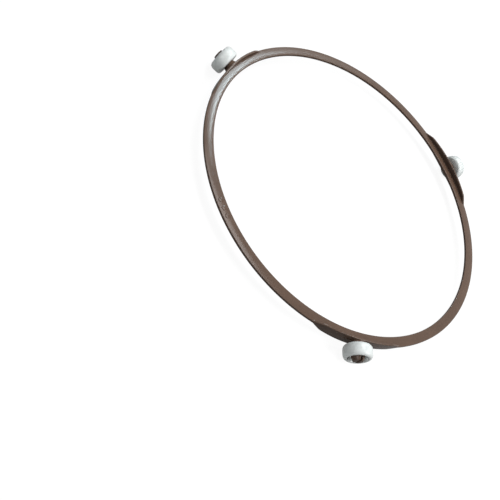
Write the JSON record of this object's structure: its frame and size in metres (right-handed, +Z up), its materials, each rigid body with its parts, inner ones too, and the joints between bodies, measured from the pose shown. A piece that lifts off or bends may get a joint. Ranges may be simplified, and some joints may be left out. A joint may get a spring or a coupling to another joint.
{
  "type": "microwave roller ring",
  "caption": "Thin flat plastic ring whose upright outer walls carry evenly spaced free-turning rollers on split snap axles, for a rotating glass tray.",
  "frame": {"origin": "centre of the ring, halfway through the hoop's thickness, level with the roller axles", "axes": "+Z up along the ring's axis, towards the tray; -Y through the first roller"},
  "size_m": [0.176, 0.1852, 0.014],
  "materials": {
    "brown_moulding": "satin moulded plastic, taupe brown, slightly scuffed",
    "white_roller": "smooth white moulded plastic, faintly translucent"
  },
  "bodies": {
    "ring": {"ring_frame": "brown_moulding"},
    "roller_1": {"roller_wheel_1": "white_roller"},
    "roller_2": {"roller_wheel_2": "white_roller"},
    "roller_3": {"roller_wheel_3": "white_roller"}
  },
  "joints": [
    {"name": "roller_1_spin", "type": "hinge", "parent": "ring", "child": "roller_1", "pos_m": [0, -0.09317, 0], "axis": [0, -1, 0], "continuous": true},
    {"name": "roller_2_spin", "type": "hinge", "parent": "ring", "child": "roller_2", "pos_m": [0.08069, 0.04659, 0], "axis": [0.866, 0.5, 0], "continuous": true},
    {"name": "roller_3_spin", "type": "hinge", "parent": "ring", "child": "roller_3", "pos_m": [-0.08069, 0.04659, 0], "axis": [-0.866, 0.5, 0], "continuous": true}
  ]
}
